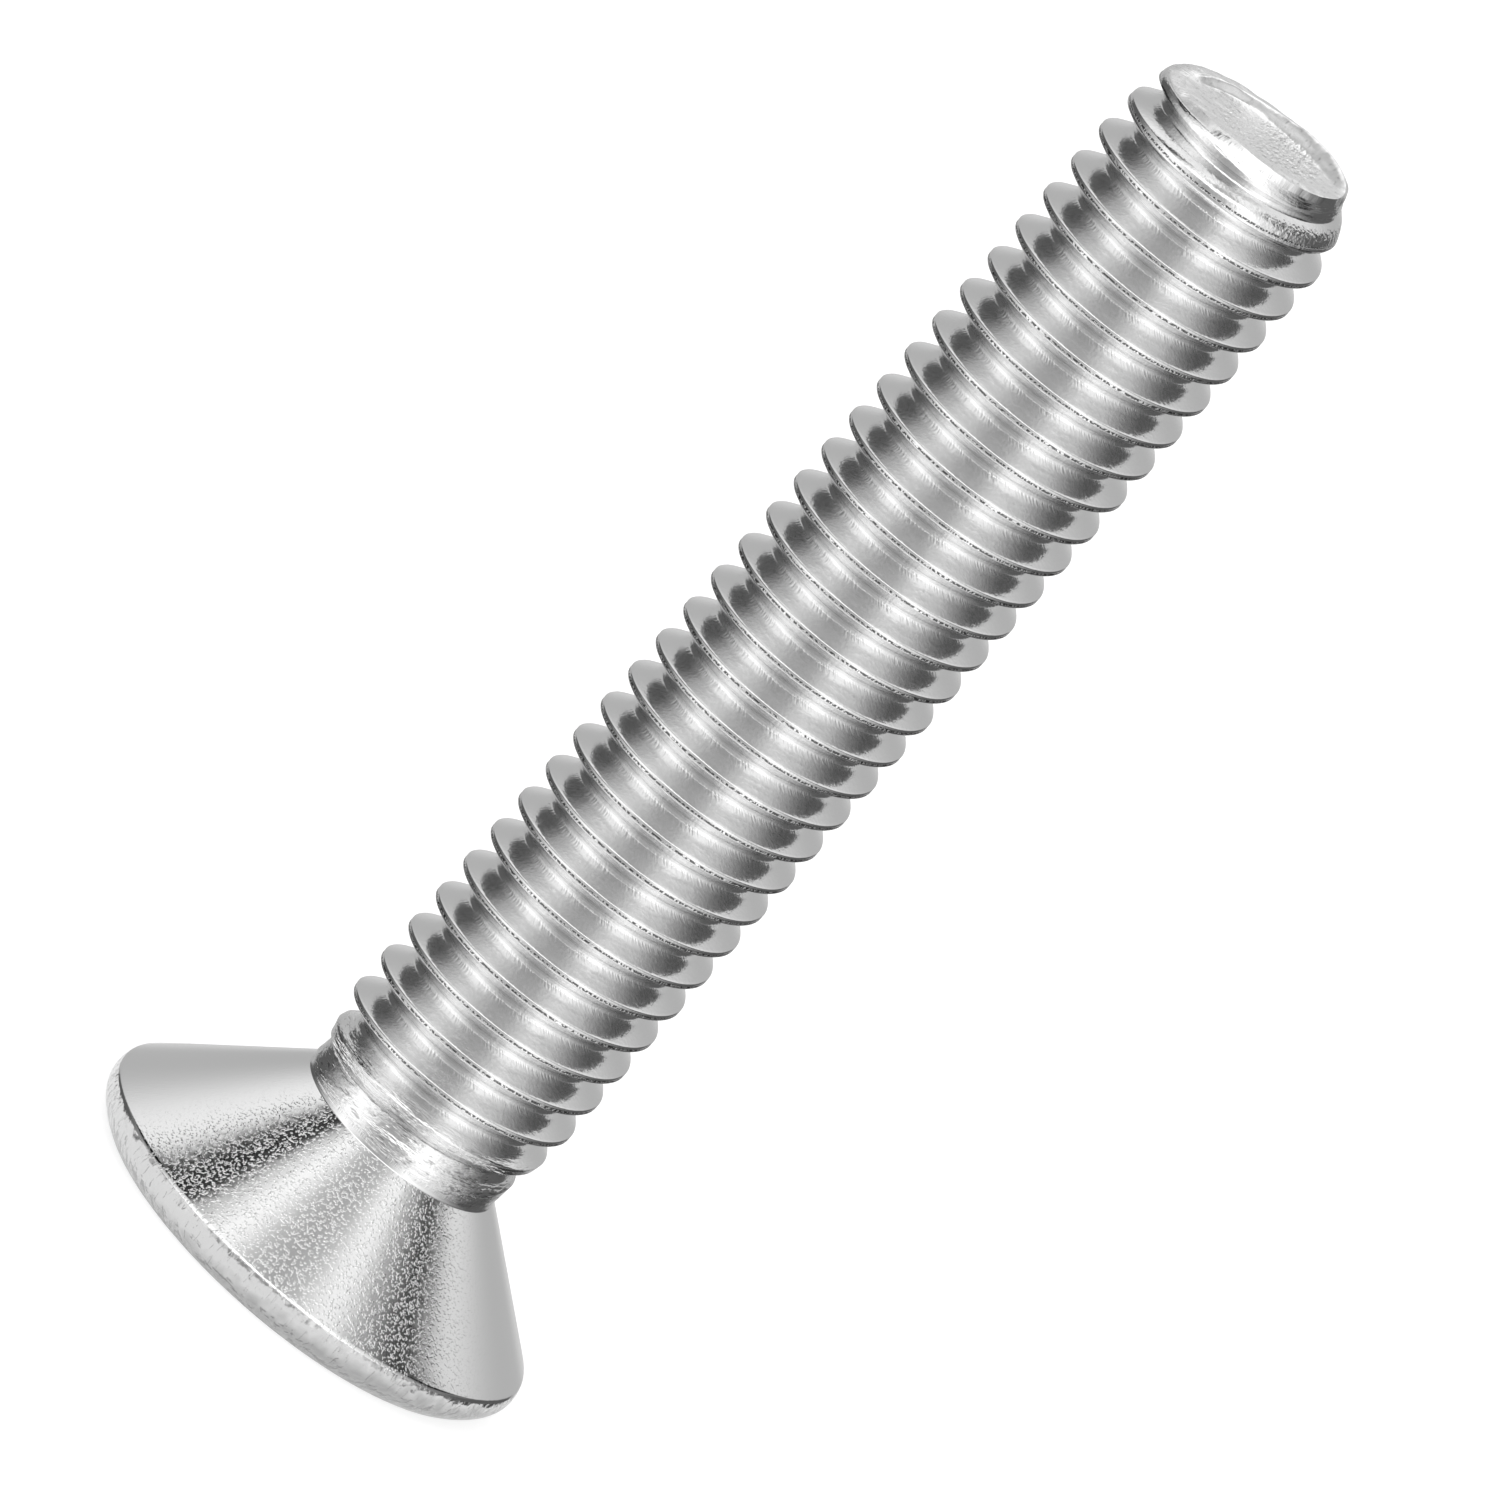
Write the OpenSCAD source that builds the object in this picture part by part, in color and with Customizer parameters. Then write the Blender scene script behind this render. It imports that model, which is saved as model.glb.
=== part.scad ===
// Countersunk socket screw with a metric thread along the whole shank.
// The screw stands on the flat of its head: the face is at Z = 0 and the point is up.
// Everything round is turned about the Z axis, and the thread is cut into it right-handed.

/* [Head] */
// Diameter of the head across its rim
head_d = 11.9; // [11.5:0.1:12.3]
// Full angle of the cone under the head
cone_angle = 96; // [90:1:98]
// Height of the rim's edge, where the cone begins
rim_h = 0.96; // [0.85:0.01:1.05]
// Height at which the rounded rim is widest
rim_mid_h = 0.68; // [0.5:0.02:0.8]
// How far the rim's edge lies in from the widest place
rim_edge_in = 0.04; // [0.02:0.02:0.2]
// How far the edge of the face lies in from the widest place
face_edge_in = 0.5; // [0.3:0.05:0.6]

/* [Hex socket] */
// Width of the socket across its flats
socket_af = 4; // [3:0.5:4.5]
// Depth of the socket's flats
socket_depth = 2.5; // [1.5:0.1:2.8]
// Full angle of the cone at the bottom of the socket
socket_bottom_angle = 120; // [110:5:140]
// Size of the bevel round the socket's mouth
socket_bevel = 0.08; // [0.04:0.02:0.16]

/* [Neck] */
// Diameter of the plain neck under the head, which is the blank before its thread is rolled
neck_d = 5.42; // [5.36:0.02:5.5]
// Radius of the fillet between the cone and the neck
fillet_r = 0.3; // [0.1:0.05:0.3]
// Length of plain neck above the cone
neck_h = 0.45; // [0.35:0.05:0.6]

/* [Thread] */
// Outside diameter of the thread
thread_d = 6; // [5.9:0.05:6.1]
// Rise of the thread in one turn, coarse or fine
pitch = 1; // [0.75, 1]
// Height over which the thread grows from the neck to its full diameter
run_out_h = 1.7; // [1.5:0.1:2]
// Straight pieces in one turn of the groove
groove_steps = 24; // [16:4:24]

/* [Point] */
// Length of the whole screw
length = 35; // [20:1:45]
// Diameter of the end face inside its bevel
end_d = 4.6; // [4.4:0.1:4.8]
// Depth of the shallow dish that rolling leaves in the end face
end_dish = 0.07; // [0.03:0.01:0.12]

/* [Hidden] */
$fn = 96;
eps = 0.01;

// radii
head_r = head_d / 2;
neck_r = neck_d / 2;
thread_r = thread_d / 2;
end_r = end_d / 2;
half = cone_angle / 2;

// where the cone begins at the rim, and where it would meet the neck
cone_r0 = head_r - rim_edge_in;
cone_z1 = rim_h + (cone_r0 - neck_r) / tan(half);
neck_top = cone_z1 + neck_h;
full_z = neck_top + run_out_h;

// The groove of the thread: a V of 60 degrees with a flat root.
root_r = thread_r - 0.6 * pitch;
root_w = 0.18 * pitch;
groove_out_r = thread_r + 0.06 * pitch;
groove_start_z = cone_z1 + 0.2;
groove_full_z = groove_start_z + 1.2;
// height of the groove's middle at angle 0; the crests there stand half a turn higher
groove_z0 = 0.87 * pitch;

// rounded rim, from the edge of the face (t = 0) to its widest place (t = 1), then to the cone's edge (t = 2)
function rim_pt(t) = t <= 1
    ? [head_r - face_edge_in * pow(1 - t, 2), rim_mid_h * t]
    : [head_r - rim_edge_in * pow(t - 1, 2), rim_mid_h + (rim_h - rim_mid_h) * (t - 1)];

// Fillet between the cone and the neck: an arc tangent to both.
fil_r = neck_r + fillet_r;
fil_z = cone_z1 + fillet_r * tan((90 - half) / 2);
function fillet_pt(t) = let (a = 180 + (90 - half) * (1 - t))
    [fil_r + fillet_r * cos(a), fil_z + fillet_r * sin(a)];

// Half section of the turned body, from the axis at the face round to the axis at the end.
turned_section = concat(
    [[0, 0]],
    [for (i = [0:10]) rim_pt(i / 5)],
    [for (i = [0:6]) fillet_pt(i / 6)],
    [[neck_r, neck_top],
     [thread_r, full_z],
     [thread_r, length - 1.9],
     [thread_r - 0.32, length - 0.5],
     [end_r, length],
     [end_r - 0.3, length - end_dish],
     [0, length - end_dish]]
);

module turned_body() {
    rotate_extrude() polygon(turned_section);
}

// A hexagonal hole with a conical bottom, as a punch leaves it, and a thin bevel at its mouth.
module hex_socket() {
    r_corner = socket_af / 2 / cos(30);
    bottom_h = (r_corner + 1) / tan(socket_bottom_angle / 2);
    apex_z = socket_depth + socket_af / 2 / tan(socket_bottom_angle / 2);
    intersection() {
        translate([0, 0, -1]) cylinder(h = apex_z + 2, r = r_corner, $fn = 6);
        union() {
            translate([0, 0, -1]) cylinder(h = 1 + apex_z - bottom_h, r = r_corner + 1);
            translate([0, 0, apex_z - bottom_h]) cylinder(h = bottom_h, r1 = r_corner + 1, r2 = 0);
        }
    }
    r_mouth = (socket_af / 2 + socket_bevel) / cos(30);
    translate([0, 0, -eps]) cylinder(h = socket_bevel + eps, r1 = r_mouth + eps, r2 = r_corner, $fn = 6);
}

// Corner i of 4 of the groove's section at turning angle a. The groove is shallow at
// the neck and sinks to its full depth over its first turn.
function groove_pt(a, i) =
    let (z = groove_z0 + pitch * a / 360,
         fade = max(0, min(1, (groove_full_z - z) / (groove_full_z - groove_start_z))),
         r_in = root_r + (neck_r + 0.12 - root_r) * fade,
         r = (i == 0 || i == 3) ? groove_out_r : r_in,
         w = root_w / 2 + (r - r_in) * tan(30),
         side = (i < 2) ? -1 : 1)
    [r * cos(a), r * sin(a), z + side * w];

// The helical cutter, one closed solid that winds from the neck past the end.
module thread_groove() {
    n = floor((length + 0.8 - groove_start_z) / pitch * groove_steps);
    a0 = (groove_start_z - groove_z0) / pitch * 360;
    points = [for (k = [0:n], i = [0:3]) groove_pt(a0 + k * 360 / groove_steps, i)];
    sides = [for (k = [0:n - 1], i = [0:3]) let (j = (i + 1) % 4)
        each [[4 * k + i, 4 * (k + 1) + j, 4 * k + j],
              [4 * k + i, 4 * (k + 1) + i, 4 * (k + 1) + j]]];
    ends = [[0, 1, 2, 3], [4 * n + 3, 4 * n + 2, 4 * n + 1, 4 * n]];
    polyhedron(points = points, faces = concat(ends, sides), convexity = 20);
}

module screw() {
    color([0.76, 0.76, 0.77])
    difference() {
        turned_body();
        hex_socket();
        thread_groove();
    }
}

screw();
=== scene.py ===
import math

import bpy
import numpy as np
from mathutils import Matrix, Vector


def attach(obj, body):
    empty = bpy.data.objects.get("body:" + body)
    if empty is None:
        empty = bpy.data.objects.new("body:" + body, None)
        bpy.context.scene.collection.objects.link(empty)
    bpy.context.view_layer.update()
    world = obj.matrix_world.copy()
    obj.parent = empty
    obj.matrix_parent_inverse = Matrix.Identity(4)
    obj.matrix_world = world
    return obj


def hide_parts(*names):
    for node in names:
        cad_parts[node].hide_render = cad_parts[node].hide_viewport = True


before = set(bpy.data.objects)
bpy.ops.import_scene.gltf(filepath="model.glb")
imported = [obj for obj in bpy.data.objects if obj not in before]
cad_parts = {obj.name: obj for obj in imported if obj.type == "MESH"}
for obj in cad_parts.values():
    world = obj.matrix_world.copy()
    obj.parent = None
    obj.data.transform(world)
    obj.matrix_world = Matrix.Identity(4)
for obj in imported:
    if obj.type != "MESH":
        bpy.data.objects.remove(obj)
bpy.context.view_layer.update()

MM = 0.001

# ---------------------------------------------------------------------------
# Sizes in millimetres, the same as in the CAD source.
HEAD_R = 5.95
FACE_EDGE_R = 5.45
CONE_R0, CONE_Z0 = 5.91, 0.96
RIM_MID = 0.68
NECK_R = 2.66
HALF = math.radians(48.0)
CONE_Z1 = CONE_Z0 + (CONE_R0 - NECK_R) / math.tan(HALF)
FILLET_R = 0.10
THREAD_R, ROOT_R, PITCH = 3.0, 2.38, 1.0
LENGTH = 35.0
SOCKET_AF, SOCKET_BEVEL = 4.0, 0.08
SOCKET_DEPTH = 2.5
APEX_Z = SOCKET_DEPTH + SOCKET_AF / 2 / math.tan(math.radians(60))
CREST_SHIFT = 0.38           # height of a crest at angle 0, past a whole millimetre

M = 144                    # columns round the screw
TAU = 2 * math.pi
TH = np.arange(M) * TAU / M
# The helical part of the mesh lies between a level ring above the neck and a slanted one under the end.
Z_B = 4.06


def z_top(th):
    return 34.97 + 0.10 * np.cos(th) - 0.09 * np.sin(th)



# ---------------------------------------------------------------------------
# Noise on the surface: sums of sines of fixed, seeded directions.
def waves(seed, scale, n=24):
    rng = np.random.RandomState(seed)
    k = rng.normal(size=(n, 3)) / scale
    p = rng.uniform(0, TAU, n)
    return lambda q: np.sin(q @ k.T + p).sum(-1) / math.sqrt(n / 2)


def sstep(a, b, x):
    t = np.clip((x - a) / (b - a), 0, 1)
    return t * t * (3 - 2 * t)


# ---------------------------------------------------------------------------
# Thread: radius at phase u, where a crest is at u = 0 and a root at 0.5.
FLANK = math.tan(math.radians(30))
CREST_W = 0.068            # half width of the crest's flat


def thread_r(u):
    d = np.abs(u - np.round(u))
    flank = THREAD_R - (d - CREST_W) / FLANK
    # crest rounded into the flank, flank rounded into the root
    r = smooth_min(np.full_like(d, THREAD_R), flank, 0.032)
    seam = 0.012 * np.exp(-((d / 0.014) ** 2))
    return smooth_max(r - seam, np.full_like(d, ROOT_R), 0.09)


def smooth_min(a, b, k):
    h = np.clip(0.5 + 0.5 * (b - a) / k, 0, 1)
    return b * (1 - h) + a * h - k * h * (1 - h)


def smooth_max(a, b, k):
    return -smooth_min(-a, -b, k)


# The blank before rolling, which the crests can't pass: it grows from the neck
# to full size, and is bevelled towards the end.
ENV_Z = np.array([3.0, 4.1, 4.4, 4.7, 5.0, 5.4, 5.8, 6.2, 32.4, 33.1, 33.6, 34.0, 34.4, 34.7, 34.95, 35.2, 35.4])
ENV_R = np.array([2.66, 2.675, 2.70, 2.735, 2.80, 2.90, 2.985, 3.05, 3.05, 3.01, 2.97, 2.91, 2.80, 2.69, 2.53, 2.35, 2.20])
# How deep the groove may be: it sinks in over its first turn and a half.
SINK_Z = np.array([3.0, 4.06, 4.4, 4.9, 5.4, 5.8, 36.0])
SINK_R = np.array([2.66, 2.655, 2.62, 2.50, 2.42, 2.30, 2.30])


def spline_interp(x, xs, ys):
    """Monotone cubic through the points."""
    h = np.diff(xs)
    d = np.diff(ys) / h
    m = np.zeros_like(ys)
    for i in range(1, len(xs) - 1):
        if d[i - 1] * d[i] > 0:
            w1, w2 = 2 * h[i] + h[i - 1], h[i] + 2 * h[i - 1]
            m[i] = (w1 + w2) / (w1 / d[i - 1] + w2 / d[i])
    m[0], m[-1] = d[0], d[-1]
    i = np.clip(np.searchsorted(xs, x) - 1, 0, len(xs) - 2)
    t = np.clip((x - xs[i]) / h[i], 0, 1)
    return ((1 + 2 * t) * (1 - t) ** 2 * ys[i] + t * (1 - t) ** 2 * h[i] * m[i]
            + t * t * (3 - 2 * t) * ys[i + 1] + t * t * (t - 1) * h[i] * m[i + 1])


def surface_r(th, z):
    """Radius of the neck and thread at angle th (radians) and height z."""
    u = z - CREST_SHIFT - th / TAU * PITCH
    r = thread_r(u)
    r = smooth_max(r, spline_interp(z, SINK_Z, SINK_R), 0.03)
    # the bevel at the end comes sooner at the right and in front than at the left and at the back
    sooner = sstep(33.6, 34.6, z) * (0.02 + 0.17 * np.cos(th) - 0.15 * np.sin(th))
    env = spline_interp(z + sooner, ENV_Z, ENV_R)
    return smooth_min(r, env, 0.025)


# ---------------------------------------------------------------------------
# Mesh builder: vertices, faces, a material and a smoothing group for each face.
V, F, MAT, GRP = [], [], [], []


def add_v(pts):
    i = len(V)
    V.extend(map(tuple, pts))
    return list(range(i, i + len(pts)))


def polar(r, z, th=TH):
    r = np.broadcast_to(r, th.shape)
    z = np.broadcast_to(z, th.shape)
    return np.stack([r * np.cos(th), r * np.sin(th), z], -1)


def bridge(lower, upper, mat, grp):
    """Quads between two rings; each face is turned so that it faces outwards when upper lies above lower."""
    for j in range(M):
        k = (j + 1) % M
        q = [lower[j], lower[k], upper[k], upper[j]]
        q = [q[n] for n in range(4) if q[n] != q[n - 1]]
        if len(q) > 2:
            F.append(q)
            MAT.append(mat)
            GRP.append(grp(j) if callable(grp) else grp)


MATS = ["thread", "neck", "cone", "rim", "face", "socket", "bottom", "end"]
m_ = {n: i for i, n in enumerate(MATS)}

# --- helical part ---------------------------------------------------------
half_rows = np.array([0.024, 0.056, 0.080, 0.108, 0.210, 0.340, 0.390, 0.440])
rows = np.concatenate([[0.0], half_rows, [0.5], 1 - half_rows[::-1]])
k0, k1 = int(math.floor(Z_B)) - 2, int(math.ceil(z_top(TH).max())) + 1
t_rows = np.concatenate([k + rows for k in range(k0, k1)]) + CREST_SHIFT
N = len(rows)
R = len(t_rows)
# column M is column 0 one pitch further on: row i at column M is row i + N at column 0
zz = t_rows[:, None] + PITCH * np.arange(M + 1)[None, :] / M
thg = np.arange(M + 1) * TAU / M
zt = z_top(thg)[None, :]
low, high = zz <= Z_B + 0.012, zz >= zt - 0.012
rr = surface_r(np.broadcast_to(thg, zz.shape), np.clip(zz, Z_B, zt))
ring_b = add_v(polar(surface_r(TH, np.full(M, Z_B)), Z_B))
ring_t = add_v(polar(surface_r(TH, z_top(TH)), z_top(TH)))
ids = np.full((R, M), -1, int)
sel = ~(low | high)[:, :M]
pts = np.stack([rr[:, :M] * np.cos(TH), rr[:, :M] * np.sin(TH), zz[:, :M]], -1)
base = len(V)
V.extend(map(tuple, pts[sel]))
ids[sel] = base + np.arange(int(sel.sum()))
rb = np.broadcast_to(np.array(ring_b), (R, M))
rt = np.broadcast_to(np.array(ring_t), (R, M))
ids = np.where(low[:, :M], rb, np.where(high[:, :M], rt, ids))
for i in range(R - 1):
    for j in range(M):
        a, d = ids[i, j], ids[i + 1, j]
        if j < M - 1:
            b, c = ids[i, j + 1], ids[i + 1, j + 1]
        else:
            if i + N + 1 >= R:
                b = c = ring_t[0]
            else:
                b, c = ids[i + N, 0], ids[i + N + 1, 0]
        q = [a, b, c, d]
        q = [q[n] for n in range(4) if q[n] != q[n - 1]]
        if len(q) > 2:
            F.append([int(x) for x in q])
            MAT.append(m_["thread"])
            GRP.append(0)
# the first rows of column 0 are reached only from column M - 1, one turn below
for i in range(N):
    b, c = ids[i, 0], ids[i + 1, 0]
    assert b in ring_b and c in ring_b

# --- head, from the neck down to the face ---------------------------------
nick = waves(3, 0.9)
nick2 = waves(5, 0.25)


def head_pt(r, z):
    return polar(r, z)


profile = []               # (r, z, material) going down
profile.append((2.668, 4.00, "neck"))
profile.append((2.662, CONE_Z1 + 0.055, "neck"))
a0 = math.pi
a1 = math.pi + (math.pi / 2 - HALF)
fil_r = NECK_R + FILLET_R
fil_z = CONE_Z1 + FILLET_R * math.tan((math.pi / 2 - HALF) / 2)
for t in np.linspace(0, 1, 5):
    a = a0 + (a1 - a0) * t
    profile.append((fil_r + FILLET_R * math.cos(a), fil_z + FILLET_R * math.sin(a), "neck"))
r_start = profile[-1][0]
for t in np.linspace(0, 1, 13)[1:]:
    r = r_start + (CONE_R0 - 0.055 - r_start) * t
    profile.append((r, CONE_Z0 + (CONE_R0 - r) / math.tan(HALF), "cone"))
profile += [(5.880, 0.983, "cone"), (5.900, 0.955, "cone"), (5.915, 0.922, "cone"), (5.925, 0.885, "rim")]


def rim_r(z):
    if z > RIM_MID:
        t = (z - RIM_MID) / (CONE_Z0 - RIM_MID)
        return HEAD_R - (HEAD_R - CONE_R0) * t * t
    t = z / RIM_MID
    return HEAD_R - (HEAD_R - FACE_EDGE_R) * (1 - t) ** 2


for z in (0.82, 0.74, 0.66, 0.58, 0.50, 0.42, 0.34, 0.26, 0.19, 0.13, 0.08, 0.04, 0.015):
    profile.append((rim_r(z), z, "rim"))
profile.append((FACE_EDGE_R - 0.005, 0.003, "rim"))
profile.append((FACE_EDGE_R - 0.03, 0.0, "rim"))

prev = ring_b
for r, z, mat in profile:
    ring = add_v(polar(r, z))
    bridge(ring, prev, m_[mat], 0)
    prev = ring

# --- face of the head, from the rim in to the socket ------------------------
side = (np.round(TH / (TAU / 6) - 0.5 + 1e-9)).astype(int) % 6
local = np.mod(TH, TAU / 6) - TAU / 12


def hex_r(af):
    return af / 2 / np.cos(local)


mouth = hex_r(SOCKET_AF + 2 * SOCKET_BEVEL)
outer = FACE_EDGE_R - 0.03
for t in np.linspace(0, 1, 9)[1:]:
    r = outer + (mouth - outer) * t
    ring = add_v(polar(r, 0.0))
    bridge(ring, prev, m_["face"], 1)
    prev = ring


def hex_side(j):
    return 10 + (j * 6 // M)


wall = hex_r(SOCKET_AF)
ring = add_v(polar(wall, SOCKET_BEVEL))
bridge(ring, prev, m_["face"], lambda j: 20 + (j * 6 // M))
prev = ring
foot = APEX_Z - wall / math.tan(math.radians(60))
for t in (0.33, 0.66, 1.0):
    ring = add_v(polar(wall, SOCKET_BEVEL + (foot - SOCKET_BEVEL) * t))
    bridge(ring, prev, m_["socket"], hex_side)
    prev = ring
for t in (0.8, 0.55, 0.3, 0.12):
    r = wall * t
    ring = add_v(polar(r, APEX_Z - r / math.tan(math.radians(60))))
    bridge(ring, prev, m_["bottom"], 2)
    prev = ring
tip = add_v([(0, 0, APEX_Z)])[0]
for j in range(M):
    F.append([tip, prev[(j + 1) % M], prev[j]])
    MAT.append(m_["bottom"])
    GRP.append(2)

# --- end of the screw --------------------------------------------------------
prev = ring_t
rt_z = z_top(TH)
rt_r = surface_r(TH, rt_z)
front = -np.sin(TH)        # 1 towards the camera
right = np.cos(TH)
DEG = np.degrees(TH)


def flat_z(x, y):
    return 35.11 + 0.068 * x - 0.062 * y


def round_interp(knots):
    """Smooth periodic curve through (angle in degrees, value) pairs, at each column."""
    a = np.array([k[0] for k in knots], float)
    v = np.array([k[1] for k in knots], float)
    a3 = np.concatenate([a - 360, a, a + 360])
    v3 = np.concatenate([v, v, v])
    return spline_interp(DEG, a3, v3)


# the worn edge of the end face: 0 is to the right, 90 at the back, 180 to the left, 270 in front
edge_r = round_interp([(0, 2.20), (45, 2.20), (90, 2.12), (135, 2.12), (180, 2.20), (225, 2.17), (270, 2.19), (315, 2.21)])
edge_z = round_interp([(0, 35.31), (40, 35.36), (65, 35.33), (90, 35.19), (120, 35.10), (150, 35.08), (180, 34.99),
                       (210, 35.03), (235, 35.14), (270, 35.27), (315, 35.29)])
dent = waves(11, 0.16)
lump = waves(12, 0.35)


def rough_ring(r, z, amount):
    """Ring with small dents in and out of the surface."""
    q = polar(r, z)
    d = (0.6 * dent(q) + 0.4 * lump(q)) * amount
    return polar(r + 0.6 * d, z + 0.8 * d)


convex = 0.5 - 0.5 * np.tanh((front + 0.25) * 4)        # 1 at the back and left, where the edge is round
for t in (0.15, 0.32, 0.5, 0.68, 0.84, 0.94, 0.985, 1.0):
    bulge = convex * 0.10 * math.sin(math.pi * min(t, 1.0)) * (1 - 0.3 * t)
    r = rt_r + (edge_r - rt_r) * t + bulge
    z = rt_z + (edge_z - rt_z) * t + bulge
    ring = add_v(rough_ring(r, z, 0.010 * math.sin(math.pi * t) ** 0.5 if t < 1 else 0.004))
    bridge(prev, ring, m_["end"], 0)
    prev = ring
in_r = 1.84 - 0.42 * np.exp(-((DEG - 58) / 42) ** 2)
for t in (0.04, 0.12, 0.28, 0.48, 0.66, 0.82, 0.93, 1.0):
    r = edge_r + (in_r - edge_r) * t
    fz = flat_z(r * np.cos(TH), r * np.sin(TH))
    top = edge_z - flat_z(edge_r * np.cos(TH), edge_r * np.sin(TH))
    z = fz + top * (0.5 + 0.5 * math.cos(math.pi * t))
    ring = add_v(rough_ring(r, z, 0.010 * (1 - t) + 0.003))
    bridge(prev, ring, m_["end"], 0)
    prev = ring
for t in (0.95, 0.89, 0.82, 0.74, 0.66, 0.58, 0.5, 0.42, 0.34, 0.26, 0.18, 0.1):
    r = in_r * t
    z = flat_z(r * np.cos(TH), r * np.sin(TH)) - 0.02 * (1 - t)
    ring = add_v(rough_ring(r, z, 0.006))
    bridge(prev, ring, m_["end"], 0)
    prev = ring
tip = add_v([(0, 0, 35.09)])[0]
for j in range(M):
    F.append([prev[j], prev[(j + 1) % M], tip])
    MAT.append(m_["end"])
    GRP.append(0)

V = np.array(V)

# --- into Blender -------------------------------------------------------------
mesh = bpy.data.meshes.new("screw_metal")
mesh.from_pydata([tuple(p) for p in V * MM], [], F)
mesh.update()
piece = bpy.data.objects.new("screw_metal", mesh)
bpy.context.scene.collection.objects.link(piece)

fa = np.array(MAT, np.int32)
mesh.polygons.foreach_set("material_index", fa)
mesh.polygons.foreach_set("use_smooth", np.ones(len(F), bool))

# Normals: each corner takes the area-weighted mean over its smoothing group.
nf = len(mesh.polygons)
nl = len(mesh.loops)
fn = np.empty(nf * 3); mesh.polygons.foreach_get("normal", fn); fn = fn.reshape(-1, 3)
ar = np.empty(nf); mesh.polygons.foreach_get("area", ar)
tot = np.empty(nf, np.int32); mesh.polygons.foreach_get("loop_total", tot)
lv = np.empty(nl, np.int32); mesh.loops.foreach_get("vertex_index", lv)
lf = np.repeat(np.arange(nf), tot)
g = np.array(GRP, np.int64)[lf]
key = g * (len(V) + 1) + lv
uniq, inv = np.unique(key, return_inverse=True)
acc = np.zeros((len(uniq), 3))
for c in range(3):
    acc[:, c] = np.bincount(inv, weights=fn[lf, c] * ar[lf], minlength=len(uniq))
acc /= np.maximum(np.linalg.norm(acc, axis=1), 1e-30)[:, None]
mesh.normals_split_custom_set(acc[inv].astype(np.float32))
mesh.update()


# ---------------------------------------------------------------------------
# Materials
def nodes_of(name, rough, base=0.84, aniso=0.0):
    mat = bpy.data.materials.new(name)
    mat.use_nodes = True
    nt = mat.node_tree
    b = nt.nodes["Principled BSDF"]
    b.inputs["Base Color"].default_value = (base, base, base, 1)
    b.inputs["Metallic"].default_value = 1.0
    b.inputs["Roughness"].default_value = rough
    return mat, nt, b


def link(nt, a, b):
    nt.links.new(a, b)


def noise(nt, scale, detail=2.0, rough=0.5, vec=None):
    n = nt.nodes.new("ShaderNodeTexNoise")
    n.inputs["Scale"].default_value = scale
    n.inputs["Detail"].default_value = detail
    n.inputs["Roughness"].default_value = rough
    if vec is not None:
        link(nt, vec, n.inputs["Vector"])
    return n


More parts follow.
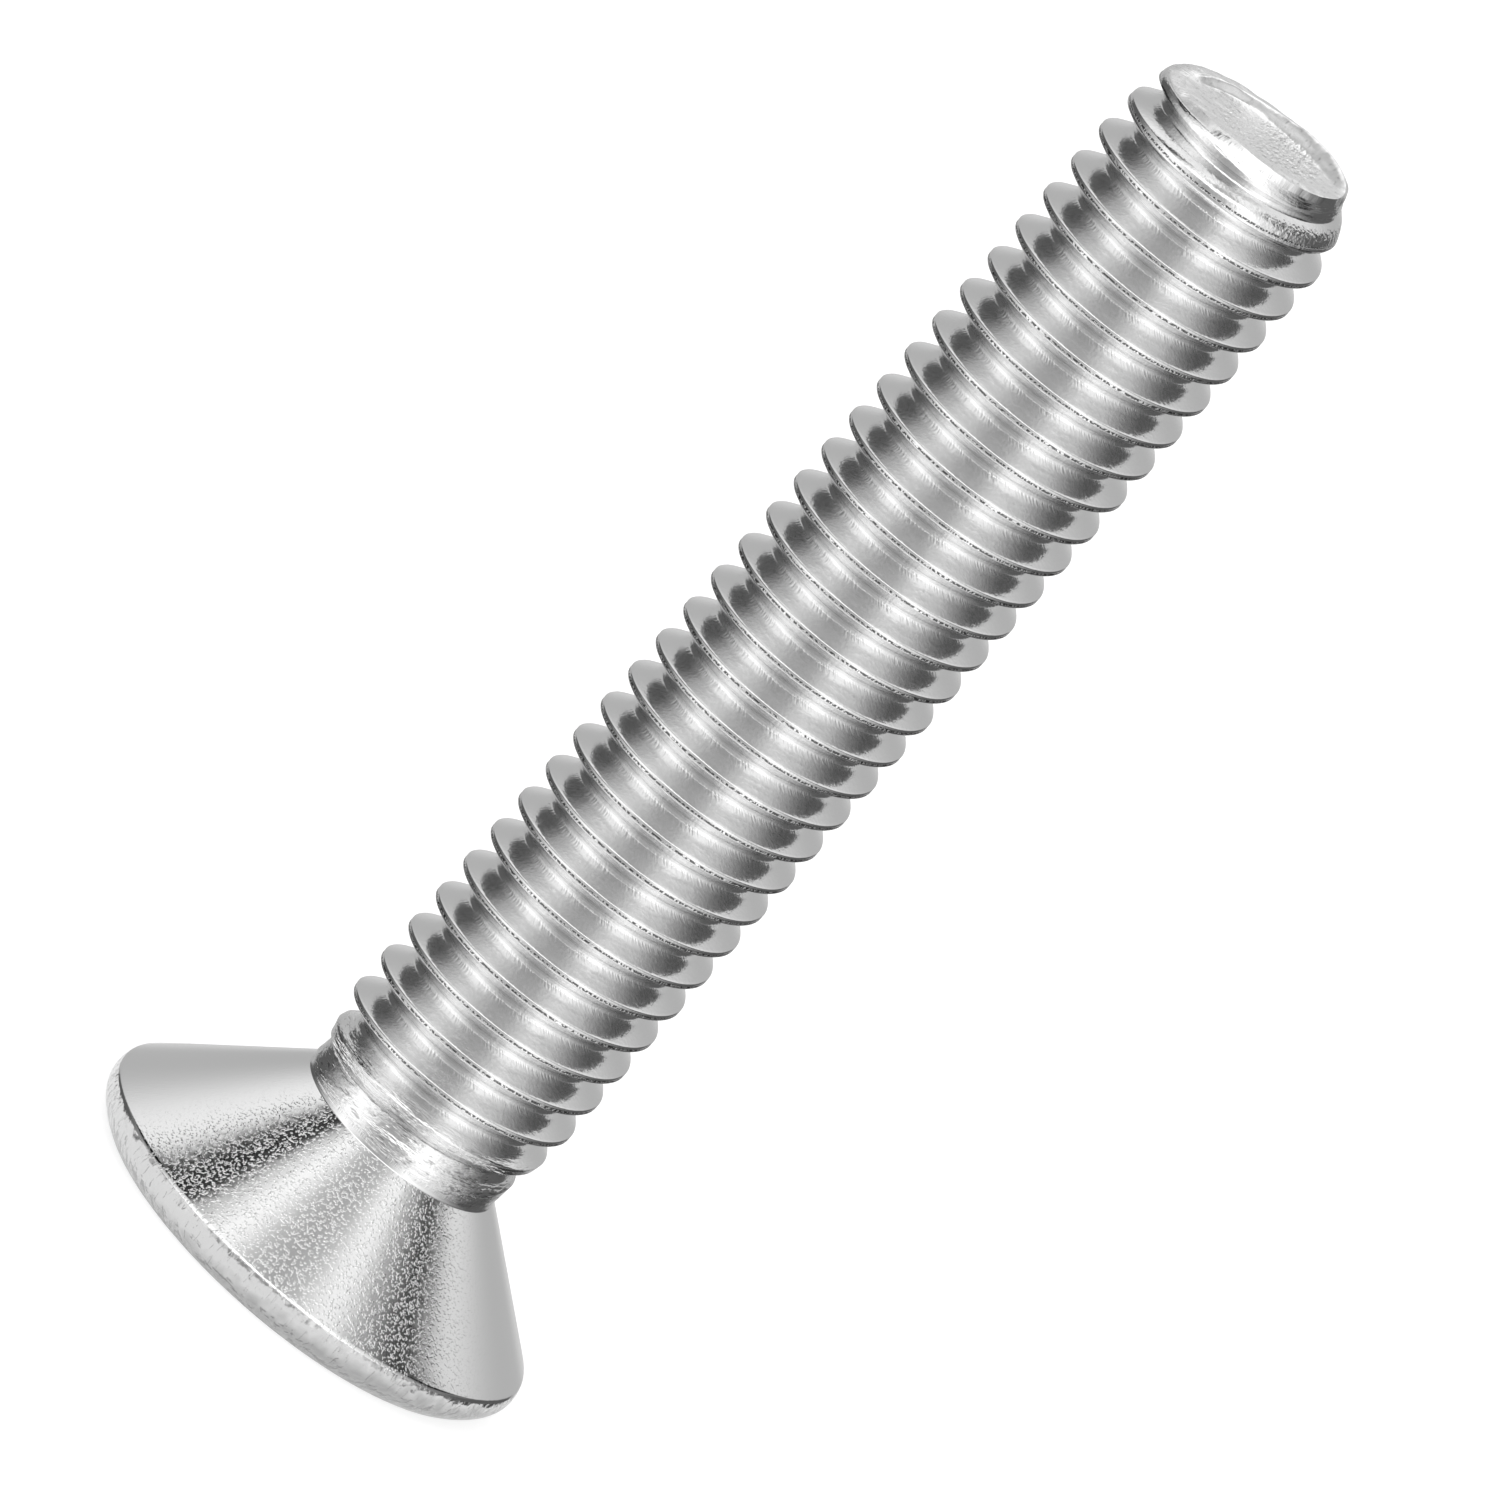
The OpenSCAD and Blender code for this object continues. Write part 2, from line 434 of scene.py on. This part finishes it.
class Nodes:
    """Material with short names for its maths."""

    def __init__(self, name, base=0.84):
        self.mat, self.nt, self.b = nodes_of(name, 0.3, base)
        t = self.nt.nodes.new("ShaderNodeTexCoord")
        s = self.nt.nodes.new("ShaderNodeVectorMath")
        s.operation = "SCALE"
        s.inputs["Scale"].default_value = 1000.0
        link(self.nt, t.outputs["Object"], s.inputs[0])
        self.p = s.outputs[0]                      # position in millimetres
        q = self.nt.nodes.new("ShaderNodeSeparateXYZ")
        link(self.nt, self.p, q.inputs[0])
        self.x, self.y, self.z = q.outputs
        # angle round the axis with its seam at the back, and distance from the axis
        self.turn = self.math("ARCTAN2", self.x, self.math("MULTIPLY", self.y, -1))
        self.r = self.math("SQRT", self.math("MULTIPLY_ADD", self.x, self.x, self.math("MULTIPLY", self.y, self.y)))

    def math(self, op, a, b=None, c=None):
        n = self.nt.nodes.new("ShaderNodeMath")
        n.operation = op
        for i, x in enumerate((a, b, c)):
            if isinstance(x, (int, float)):
                n.inputs[i].default_value = x
            elif x is not None:
                link(self.nt, x, n.inputs[i])
        return n.outputs[0]

    def smooth(self, x, a, b, lo=0.0, hi=1.0):
        n = self.nt.nodes.new("ShaderNodeMapRange")
        n.interpolation_type = "SMOOTHSTEP"
        link(self.nt, x, n.inputs["Value"])
        for k, v in (("From Min", a), ("From Max", b), ("To Min", lo), ("To Max", hi)):
            n.inputs[k].default_value = v
        return n.outputs[0]

    def line(self, x, at, half):
        """1 where x is at the value at, falling to 0 at half on either side."""
        return self.smooth(self.math("ABSOLUTE", self.math("SUBTRACT", x, at)), half, half * 0.3)

    def both(self, *m):
        out = m[0]
        for k in m[1:]:
            out = self.math("MULTIPLY", out, k)
        return out

    def vec(self, x, y, z):
        n = self.nt.nodes.new("ShaderNodeCombineXYZ")
        for i, v in enumerate((x, y, z)):
            if isinstance(v, (int, float)):
                n.inputs[i].default_value = v
            else:
                link(self.nt, v, n.inputs[i])
        return n.outputs[0]

    def noise(self, size, vec=None, detail=1.5, rough=0.5):
        """Noise whose lumps are about size millimetres apart."""
        n = noise(self.nt, 1.0 / size, detail, rough, self.p if vec is None else vec)
        return n.outputs["Fac"]

    def add(self, *pairs):
        """Sum of (factor, height in millimetres) pairs."""
        out = None
        for k, h in pairs:
            out = self.math("MULTIPLY", h, k) if out is None else self.math("MULTIPLY_ADD", h, k, out)
        return out

    def relief(self, h):
        """Height in millimetres as bump."""
        n = self.nt.nodes.new("ShaderNodeBump")
        n.inputs["Strength"].default_value = 1.0
        n.inputs["Distance"].default_value = MM
        link(self.nt, h, n.inputs["Height"])
        link(self.nt, n.outputs["Normal"], self.b.inputs["Normal"])

    def rough(self, x, a, b, lo, hi):
        link(self.nt, self.smooth(x, a, b, lo, hi), self.b.inputs["Roughness"])

    def tint(self, x, a, b, lo, hi):
        """Grey base colour, lo to hi as x goes from a to b."""
        n = self.nt.nodes.new("ShaderNodeValToRGB")
        e = n.color_ramp.elements
        e[0].position, e[1].position = a, b
        e[0].color, e[1].color = (lo, lo, lo, 1), (hi, hi, hi, 1)
        link(self.nt, x, n.inputs[0])
        link(self.nt, n.outputs[0], self.b.inputs["Base Color"])


def steel_thread():
    """Rolled thread: smooth upper flanks, striped lower ones, a seam along the crest and a scuffed root."""
    k = Nodes("steel_thread")
    # place across the thread: 0 on a crest, rising over its upper flank to 0.5 in the root, then the lower flank to 1
    up = k.math("MULTIPLY_ADD", k.turn, -1 / TAU, k.z)
    u = k.math("FRACT", k.math("ADD", up, 20.25 - CREST_SHIFT))
    arc = k.math("MULTIPLY", k.turn, 2.6)
    along = k.vec(k.math("MULTIPLY", arc, 0.16), up, k.r)
    fine = k.noise(0.08)
    stripes = k.noise(0.07, along, 1.5, 0.6)
    # the last rolled stripes lie on the lower flank and in the root
    lower = k.smooth(u, 0.36, 0.52)
    # seam along the crest, a little below its middle
    inside = k.both(k.smooth(k.z, 5.3, 5.8), k.smooth(k.z, 34.6, 34.2))
    dots = k.noise(0.055, k.vec(arc, k.math("MULTIPLY", up, 0.8), 0.0), 1.0)
    seam = k.both(k.line(k.math("FRACT", k.math("ADD", u, 0.5)), 0.482, 0.034), k.smooth(dots, 0.42, 0.56), inside)
    # slanting tool marks where the upper flank runs into the root
    teeth = k.noise(0.06, k.vec(k.math("MULTIPLY_ADD", up, 0.9, arc), k.math("MULTIPLY", up, 0.3), 0.0), 0.5)
    at_root = k.both(k.line(u, 0.42, 0.09), inside)
    # scuffed where the thread starts at the neck, and rough where it ends
    scratch = k.noise(0.08, k.vec(k.math("MULTIPLY", arc, 0.2), up, k.r), 2.0, 0.6)
    scuffs = k.both(k.math("SUBTRACT", scratch, 0.5), k.smooth(k.z, 5.8, 5.0))
    ragged = k.both(k.math("SUBTRACT", k.noise(0.11, None, 1.5), 0.5), k.smooth(k.z, 33.9, 34.4),
                    k.smooth(k.r, 2.48, 2.62), k.smooth(k.x, 0.9, 1.9, 0.12, 1.0))
    h = k.add((0.0040, fine), (0.010, k.both(stripes, lower)), (-0.014, seam), (0.009, k.both(teeth, at_root)),
              (0.034, scuffs), (0.036, ragged))
    k.relief(h)
    k.rough(fine, 0.35, 0.65, 0.13, 0.19)
    # painted shade: the base colour turns dark in the crest seam, which is also a real groove; it is also darker in
    # the scratches where the thread starts at the neck, which are wear
    k.tint(k.math("MAXIMUM", seam, k.both(k.smooth(scratch, 0.42, 0.34, 0.0, 0.45), k.smooth(k.z, 5.6, 5.0))), 0.1, 0.8, 0.84, 0.16)
    return k.mat


def steel_neck():
    """Neck: drawn streaks along the axis, and scratches round it."""
    k = Nodes("steel_neck")
    arc = k.math("MULTIPLY", k.turn, 2.66)
    streaks = k.noise(0.08, k.vec(arc, k.math("MULTIPLY", k.z, 0.12), 0.0), 2.0, 0.6)
    rounds = k.noise(0.08, k.vec(k.math("MULTIPLY", arc, 0.08), k.z, 0.0), 2.0, 0.6)
    worn = k.noise(0.45, None, 1.0)
    # nothing on the fillet, which stays smooth
    above = k.smooth(k.z, 3.92, 4.02)
    half = k.math("SUBTRACT", k.add((0.010, streaks), (0.007, rounds), (0.022, worn)), 0.0195)
    k.relief(k.both(half, above))
    k.rough(worn, 0.35, 0.65, 0.15, 0.24)
    k.tint(k.math("MAXIMUM", streaks, k.smooth(k.z, 4.02, 3.92)), 0.30, 0.44, 0.56, 0.84)
    return k.mat


def steel_cone():
    """Cone under the head: smooth, with fine raised grain."""
    k = Nodes("steel_cone")
    fine = k.smooth(k.noise(0.075, None, 1.0), 0.52, 0.66)
    wide = k.noise(0.17, None, 0.0)
    # the grain is pressed in most on two opposite sides
    where = k.smooth(k.math("ABSOLUTE", k.math("SINE", k.turn)), 0.76, 0.60, 0.10, 1.0)
    calm = k.smooth(k.math("ABSOLUTE", k.math("SINE", k.turn)), 0.10, 0.36, 0.55, 1.0)
    k.relief(k.both(k.add((0.0066, fine), (0.0016, wide)), where, calm))
    k.rough(fine, 0.0, 1.0, 0.11, 0.15)
    return k.mat


def steel_rim():
    """Rim of the head: hammered, with short nicks across it."""
    k = Nodes("steel_rim")
    arc = k.math("MULTIPLY", k.turn, 5.9)
    fine = k.noise(0.11, k.vec(arc, k.math("MULTIPLY", k.z, 0.7), k.r), 1.5, 0.6)
    lumps = k.noise(0.32, None, 1.0)
    nicks = k.smooth(k.noise(0.12, k.vec(arc, k.math("MULTIPLY", k.z, 0.25), 0.0), 1.0), 0.34, 0.44)
    # the last term leans the rim inwards below its edge
    k.relief(k.add((0.012, fine), (0.080, lumps), (0.012, nicks), (0.20, k.z)))
    k.rough(fine, 0.3, 0.7, 0.16, 0.24)
    # painted shade: the rim's base colour is darker than the other steel, most in its lower half, standing in for the
    # shadowed floor it reflects under its overhang, and darker towards the right; the lumps give it a wavy border
    rim_painted_shade = k.math("MULTIPLY_ADD", k.x, -0.06, k.z)
    k.tint(k.math("MULTIPLY_ADD", lumps, 0.5, rim_painted_shade), 0.50, 0.88, 0.37, 0.61)
    return k.mat


def steel_face():
    """Face of the head: leathery grain that spreads out from the socket."""
    k = Nodes("steel_face")
    rays = k.noise(0.13, k.vec(k.math("MULTIPLY", k.turn, 4.0), k.math("MULTIPLY", k.r, 0.45), 0.0), 2.0, 0.6)
    fine = k.noise(0.09, None, 1.5)
    k.relief(k.add((0.028, rays), (0.008, fine)))
    k.rough(fine, 0.3, 0.7, 0.24, 0.34)
    k.tint(rays, 0.34, 0.52, 0.62, 0.84)
    return k.mat


def steel_socket(name, rough, size):
    """Socket: punched walls with faint marks down them, smooth bottom."""
    k = Nodes(name)
    marks = k.noise(size, k.vec(k.x, k.y, k.math("MULTIPLY", k.z, 0.15)), 2.0, 0.6)
    k.relief(k.add((0.006, marks)))
    k.rough(marks, 0.3, 0.7, rough, rough + 0.08)
    k.tint(marks, 0.28, 0.42, 0.66, 0.84)
    return k.mat


def steel_end():
    """End face: pitted in the middle, worn bright round the edge."""
    k = Nodes("steel_end")
    pits = k.noise(0.12, k.vec(k.x, k.math("MULTIPLY", k.y, 0.4), 0.0), 1.0, 0.6)
    lumps = k.noise(0.30, None, 0.0)
    # the pits lie in the middle and towards the right, the border is worn smooth
    inner = k.both(k.smooth(k.r, 1.7, 1.35), k.smooth(k.x, -1.4, -0.8))
    brushed = k.noise(0.08, k.vec(k.math("MULTIPLY", k.turn, 2.4), k.math("MULTIPLY", k.z, 0.3), 0.0), 1.0)
    side = k.smooth(k.r, 2.16, 2.3)
    k.relief(k.add((0.055, k.both(k.math("SUBTRACT", pits, 0.5), inner)), (0.004, pits), (0.022, lumps),
                   (0.012, k.both(k.math("SUBTRACT", brushed, 0.5), side))))
    k.rough(pits, 0.3, 0.7, 0.17, 0.27)
    k.tint(pits, 0.28, 0.38, 0.66, 0.84)
    return k.mat


materials = {
    "thread": steel_thread(),
    "neck": steel_neck(),
    "cone": steel_cone(),
    "rim": steel_rim(),
    "face": steel_face(),
    "socket": steel_socket("steel_socket", 0.24, 0.10),
    "bottom": steel_socket("steel_bottom", 0.22, 0.16),
    "end": steel_end(),
}
for n in MATS:
    mesh.materials.append(materials[n])

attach(piece, "root")
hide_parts("screw")

# ---------------------------------------------------------------------------
# Floor
# A round sheet under the head shows in the metal; the plane around it, which runs on far beyond, doesn't.
fm = bpy.data.materials.new("pale_floor")
fm.use_nodes = True
fb = fm.node_tree.nodes["Principled BSDF"]
fb.inputs["Base Color"].default_value = (0.5, 0.5, 0.5, 1)
fb.inputs["Emission Color"].default_value = (1, 1, 1, 1)
fb.inputs["Emission Strength"].default_value = 0.75
fb.inputs["Roughness"].default_value = 0.9
fb.inputs["Specular IOR Level"].default_value = 0.0
SIDES = 64
sheet_r, far_r = 8.5 * MM, 3.0
rim_of = [(math.cos(TAU * n / SIDES), math.sin(TAU * n / SIDES)) for n in range(SIDES)]
for name, pts, faces, mirrored in (
    ("floor_sheet", [(sheet_r * c, sheet_r * d, 0) for c, d in rim_of], [tuple(range(SIDES))], True),
    ("floor", [(q * c, q * d, 0) for q in (sheet_r, far_r) for c, d in rim_of],
     [(n, SIDES + n, SIDES + (n + 1) % SIDES, (n + 1) % SIDES) for n in range(SIDES)], False),
):
    floor_mesh = bpy.data.meshes.new(name)
    floor_mesh.from_pydata(pts, [], faces)
    floor_mesh.materials.append(fm)
    floor = bpy.data.objects.new(name, floor_mesh)
    floor.location = (-0.7 * MM, 0, -0.00001)
    floor.visible_glossy = mirrored
    bpy.context.scene.collection.objects.link(floor)

# ---------------------------------------------------------------------------
# World: a pale tent with a grey front, two strip lights and two dark flags.
world = bpy.data.worlds.new("studio")
bpy.context.scene.world = world
world.use_nodes = True
wt = world.node_tree
bg = wt.nodes["Background"]
tc = wt.nodes.new("ShaderNodeTexCoord")
sep = wt.nodes.new("ShaderNodeSeparateXYZ")
link(wt, tc.outputs["Generated"], sep.inputs[0])


def wmath(op, a, b=None, c=None):
    n = wt.nodes.new("ShaderNodeMath")
    n.operation = op
    for i, x in enumerate((a, b, c)):
        if x is None:
            continue
        if isinstance(x, (int, float)):
            n.inputs[i].default_value = x
        else:
            link(wt, x, n.inputs[i])
    return n.outputs[0]


def ramp(x, stops, mode="EASE"):
    r = wt.nodes.new("ShaderNodeValToRGB")
    r.color_ramp.interpolation = mode
    e = r.color_ramp.elements
    while len(e) < len(stops):
        e.new(0.5)
    for el, (p, v) in zip(e, stops):
        el.position = p
        el.color = (v, v, v, 1)
    link(wt, x, r.inputs[0])
    return r.outputs[0]


def smooth(x, a, b, lo=0.0, hi=1.0):
    """lo where x is at a, hi where it is at b, soft between."""
    n = wt.nodes.new("ShaderNodeMapRange")
    n.interpolation_type = "SMOOTHSTEP"
    link(wt, x, n.inputs["Value"])
    for k, v in (("From Min", a), ("From Max", b), ("To Min", lo), ("To Max", hi)):
        n.inputs[k].default_value = v
    return n.outputs[0]


def wmix(f, a, b):
    n = wt.nodes.new("ShaderNodeMix")
    n.data_type = "RGBA"
    for k, x in ((0, f), (6, a), (7, b)):
        if isinstance(x, (int, float)):
            n.inputs[k].default_value = x if k == 0 else (x, x, x, 1)
        else:
            link(wt, x, n.inputs[k])
    return n.outputs[2]


def both(*masks):
    out = masks[0]
    for m in masks[1:]:
        out = wmath("MULTIPLY", out, m)
    return out


X, Y, Z = sep.outputs
# directions in degrees: azimuth 0 in front, 90 to the right, 180 behind; height above the horizon
AZ = wmath("MULTIPLY", wmath("ARCTAN2", X, wmath("MULTIPLY", Y, -1)), 360 / TAU)
EL = wmath("MULTIPLY", wmath("ARCSINE", Z), 360 / TAU)
TURN = wmath("MULTIPLY_ADD", AZ, 1 / 360, 0.5)
SIDEWAYS = wmath("ABSOLUTE", AZ)


def around(stops):
    return ramp(TURN, [((a + 180) / 360, v) for a, v in stops])


# grey front with a bright strip light on either side of it
STRIPS = around([(-180, .5), (-98, .34), (-82, .58), (-52, 1.30), (-9, .40), (6, .46), (37, 1.38), (64, .85), (84, .42), (98, .3), (180, .5)])
# grey wall behind, brighter high up next to the flags, and a white card in its middle
WALL = wmath("MULTIPLY_ADD", both(smooth(EL, 4, 48), smooth(SIDEWAYS, 160, 125)), smooth(AZ, -90, 90, .54, .40), .50)
WALL = wmix(smooth(SIDEWAYS, 162, 174), WALL, smooth(EL, 12, 40, .66, 1.5))
SKY = wmix(smooth(SIDEWAYS, 96, 108), STRIPS, WALL)
# the strips end above the floor, which is white
SKY = wmix(smooth(EL, -26, -38), SKY, wmix(0.62, STRIPS, .50))
SKY = wmix(smooth(EL, -48, -60), SKY, .85)
# ceiling
SKY = wmix(smooth(EL, 62, 76), SKY, around([(-180, .5), (-74, 1.25), (-28, .52), (0, .44), (28, .52), (72, 1.18), (180, .5)]))
# soft box over the camera
SKY = wmix(both(smooth(SIDEWAYS, 48, 34), smooth(EL, 32, 40), smooth(EL, 68, 58)), SKY, 1.6)
# two flags, one on either side: grey below, black above, leaning forwards, so that they are narrower at the top
FLAGS = (
    # side, far edge at the horizon, how much nearer it comes per degree, softness, near edge below and above
    (-1, 146, -0.73, 3, (86, 112), (83, 88)),
    (1, 157, -0.90, 4, (84, 112), (86, 104)),
)
for side, far, lean, soft, near_low, near_high in FLAGS:
    a = wmath("MULTIPLY", AZ, side)
    edge = wmath("MULTIPLY_ADD", wmath("MAXIMUM", EL, 0), lean, far)
    shade = both(smooth(wmath("SUBTRACT", edge, a), 0, soft), smooth(EL, -58, -48), smooth(EL, 80, 72))
    SKY = wmix(both(shade, smooth(a, *near_low), smooth(EL, 34, 20)), SKY, smooth(EL, -20, -30, .11, .03))
    SKY = wmix(both(shade, smooth(a, *near_high), smooth(EL, 20, 34)), SKY, .01)
bg.inputs["Strength"].default_value = 1.0
lp = wt.nodes.new("ShaderNodeLightPath")
link(wt, wmix(lp.outputs["Is Camera Ray"], SKY, 1.1), bg.inputs["Color"])

# ---------------------------------------------------------------------------
# Camera: long lens, 17 degrees above the level, rolled so that the screw leans to the right.
ELEV, ROLL = math.radians(17.3), math.radians(41.0)
TARGET = Vector((0.297, 0.0, 16.194)) * MM
DIST = 0.947
cam_data = bpy.data.cameras.new("camera")
cam_data.sensor_width = 36.0
cam_data.lens = 1000.0
cam_data.clip_start, cam_data.clip_end = 0.01, 10.0
cam = bpy.data.objects.new("camera", cam_data)
bpy.context.scene.collection.objects.link(cam)
back = Vector((0, -math.cos(ELEV), math.sin(ELEV)))
up = Vector((0, math.sin(ELEV), math.cos(ELEV)))
right_v = Vector((1, 0, 0))
# rolled to the left, so that the screw's axis turns to the right in the picture
cr, sr = math.cos(ROLL), math.sin(ROLL)
cam_x = right_v * cr + up * sr
cam_y = up * cr - right_v * sr
rot = Matrix((cam_x, cam_y, back)).transposed()
cam.matrix_world = Matrix.Translation(TARGET + back * DIST) @ rot.to_4x4()
bpy.context.scene.camera = cam

scene = bpy.context.scene
scene.view_settings.view_transform = "Standard"
scene.view_settings.look = "None"
